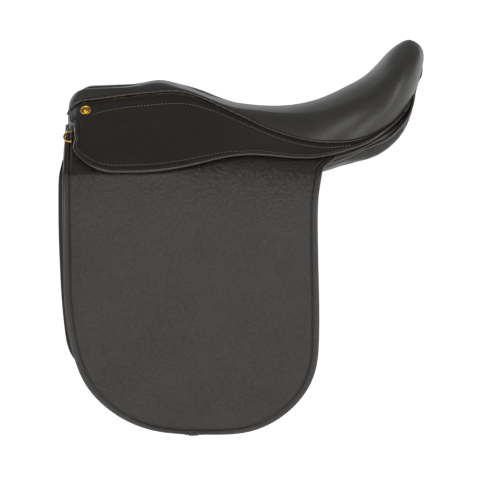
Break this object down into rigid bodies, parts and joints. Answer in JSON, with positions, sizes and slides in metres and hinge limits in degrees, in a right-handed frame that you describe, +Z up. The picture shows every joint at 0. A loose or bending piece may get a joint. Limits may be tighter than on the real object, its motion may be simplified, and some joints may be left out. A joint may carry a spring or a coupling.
{
  "type": "english saddle",
  "caption": "English show saddle with a cut-back pommel, long dished seat, wide rounded flaps, folding skirts, stirrup bars, girth straps and brass fittings.",
  "frame": {"origin": "on the plane of symmetry, level with the outer edges of the panels, below the middle of the seat", "axes": "+X towards the cantle, +Y towards the rider's right side, +Z up"},
  "size_m": [0.527, 0.4458, 0.5522],
  "materials": {
    "bar_steel": "forged steel",
    "billet_leather": "black strap leather",
    "binding_leather": "black bound edge",
    "brass": "polished brass",
    "flap_leather": "pebble-grained black hide",
    "latex_foam": "cream latex foam",
    "lining_leather": "black lining hide",
    "panel_leather": "black panel hide",
    "seat_leather": "smooth black hide with a soft sheen",
    "skirt_leather": "smooth black hide",
    "tree_steel": "black japanned steel",
    "tree_wood": "laminated beech",
    "webbing": "undyed cotton canvas",
    "welt_cord": "corded welt with dark red thread"
  },
  "bodies": {
    "saddle": {"bar_catch_pin_left": "bar_steel", "bar_catch_pin_right": "bar_steel", "bar_rivets_left": "tree_steel", "bar_rivets_right": "tree_steel", "dee_tab_left": "lining_leather", "dee_tab_right": "lining_leather", "flap_top_left": "flap_leather", "flap_top_right": "flap_leather", "girth_web_front": "webbing", "girth_web_rear": "webbing", "gullet_plate": "tree_steel", "head_plate": "tree_steel", "head_rivets": "tree_steel", "panel_bridge_front": "panel_leather", "panel_bridge_rear": "panel_leather", "panel_left": "panel_leather", "panel_right": "panel_leather", "panel_welt_left": "panel_leather", "panel_welt_right": "panel_leather", "point_pocket_left": "panel_leather", "point_pocket_right": "panel_leather", "pommel_lining": "lining_leather", "saddle_nail_left": "brass", "saddle_nail_right": "brass", "seat_cover": "seat_leather", "seat_foam": "latex_foam", "seat_spring_left": "tree_steel", "seat_spring_right": "tree_steel", "seat_webs": "webbing", "seat_welt": "welt_cord", "skirt_band_left": "skirt_leather", "skirt_band_right": "skirt_leather", "stirrup_bar_left": "bar_steel", "stirrup_bar_right": "bar_steel", "sweat_flap_left": "lining_leather", "sweat_flap_right": "lining_leather", "tree_cantle": "tree_wood", "tree_head": "tree_wood", "tree_rail_left": "tree_wood", "tree_rail_right": "tree_wood"},
    "flap_left": {"flap_left": "flap_leather", "flap_binding_left": "binding_leather"},
    "skirt_lobe_left": {"skirt_left": "skirt_leather"},
    "billet_front_left": {"billet_front_left": "billet_leather"},
    "billet_middle_left": {"billet_middle_left": "billet_leather"},
    "billet_rear_left": {"billet_rear_left": "billet_leather"},
    "buckle_guard_left": {"buckle_guard_left": "lining_leather"},
    "dee_ring_left": {"dee_ring_left": "brass"},
    "bar_catch_left": {"bar_catch_left": "bar_steel"},
    "flap_right": {"flap_right": "flap_leather", "flap_binding_right": "binding_leather"},
    "skirt_lobe_right": {"skirt_right": "skirt_leather"},
    "billet_front_right": {"billet_front_right": "billet_leather"},
    "billet_middle_right": {"billet_middle_right": "billet_leather"},
    "billet_rear_right": {"billet_rear_right": "billet_leather"},
    "buckle_guard_right": {"buckle_guard_right": "lining_leather"},
    "dee_ring_right": {"dee_ring_right": "brass"},
    "bar_catch_right": {"bar_catch_right": "bar_steel"}
  },
  "joints": [
    {"name": "flap_left_lift", "type": "hinge", "parent": "saddle", "child": "flap_left", "pos_m": [0, -0.207, 0.013], "axis": [-1, 0, 0], "range_deg": [0, 95]},
    {"name": "skirt_left_lift", "type": "hinge", "parent": "saddle", "child": "skirt_lobe_left", "pos_m": [-0.236, -0.128, 0.084], "axis": [-0.9653, 0.2179, 0.1441], "range_deg": [0, 100]},
    {"name": "billet_front_left_swing", "type": "hinge", "parent": "saddle", "child": "billet_front_left", "pos_m": [-0.07, -0.2, 0], "axis": [0, 1, 0], "range_deg": [-10, 10]},
    {"name": "billet_middle_left_swing", "type": "hinge", "parent": "saddle", "child": "billet_middle_left", "pos_m": [-0.03, -0.2, 0], "axis": [0, 1, 0], "range_deg": [-10, 10]},
    {"name": "billet_rear_left_swing", "type": "hinge", "parent": "saddle", "child": "billet_rear_left", "pos_m": [0.01, -0.2, 0], "axis": [0, 1, 0], "range_deg": [-10, 10]},
    {"name": "guard_left_slide", "type": "slide", "parent": "billet_front_left", "child": "buckle_guard_left", "axis": [0, 0, -1], "range_m": [0, 0.08]},
    {"name": "dee_left_turn", "type": "hinge", "parent": "saddle", "child": "dee_ring_left", "pos_m": [-0.2385, -0.14718, 0.06201], "axis": [0, 0.7875, 0.6163], "range_deg": [0, 60]},
    {"name": "catch_left_turn", "type": "hinge", "parent": "saddle", "child": "bar_catch_left", "pos_m": [-0.086, -0.1175, 0.0805], "axis": [0, -0.5592, 0.829], "range_deg": [0, 60]},
    {"name": "flap_right_lift", "type": "hinge", "parent": "saddle", "child": "flap_right", "pos_m": [0, 0.207, 0.013], "axis": [1, 0, 0], "range_deg": [0, 95]},
    {"name": "skirt_right_lift", "type": "hinge", "parent": "saddle", "child": "skirt_lobe_right", "pos_m": [-0.236, 0.128, 0.084], "axis": [0.9653, 0.2179, -0.1441], "range_deg": [0, 100]},
    {"name": "billet_front_right_swing", "type": "hinge", "parent": "saddle", "child": "billet_front_right", "pos_m": [-0.07, 0.2, 0], "axis": [0, 1, 0], "range_deg": [-10, 10]},
    {"name": "billet_middle_right_swing", "type": "hinge", "parent": "saddle", "child": "billet_middle_right", "pos_m": [-0.03, 0.2, 0], "axis": [0, 1, 0], "range_deg": [-10, 10]},
    {"name": "billet_rear_right_swing", "type": "hinge", "parent": "saddle", "child": "billet_rear_right", "pos_m": [0.01, 0.2, 0], "axis": [0, 1, 0], "range_deg": [-10, 10]},
    {"name": "guard_right_slide", "type": "slide", "parent": "billet_front_right", "child": "buckle_guard_right", "axis": [0, 0, -1], "range_m": [0, 0.08]},
    {"name": "dee_right_turn", "type": "hinge", "parent": "saddle", "child": "dee_ring_right", "pos_m": [-0.2385, 0.14718, 0.06201], "axis": [0, 0.7875, -0.6163], "range_deg": [0, 60]},
    {"name": "catch_right_turn", "type": "hinge", "parent": "saddle", "child": "bar_catch_right", "pos_m": [-0.086, 0.1175, 0.0805], "axis": [0, -0.5592, -0.829], "range_deg": [0, 60]}
  ],
  "couplings": [
    {"joint": "billet_middle_left_swing", "follows": "billet_front_left_swing", "ratio": 1},
    {"joint": "billet_rear_left_swing", "follows": "billet_front_left_swing", "ratio": 1},
    {"joint": "billet_middle_right_swing", "follows": "billet_front_right_swing", "ratio": 1},
    {"joint": "billet_rear_right_swing", "follows": "billet_front_right_swing", "ratio": 1}
  ]
}
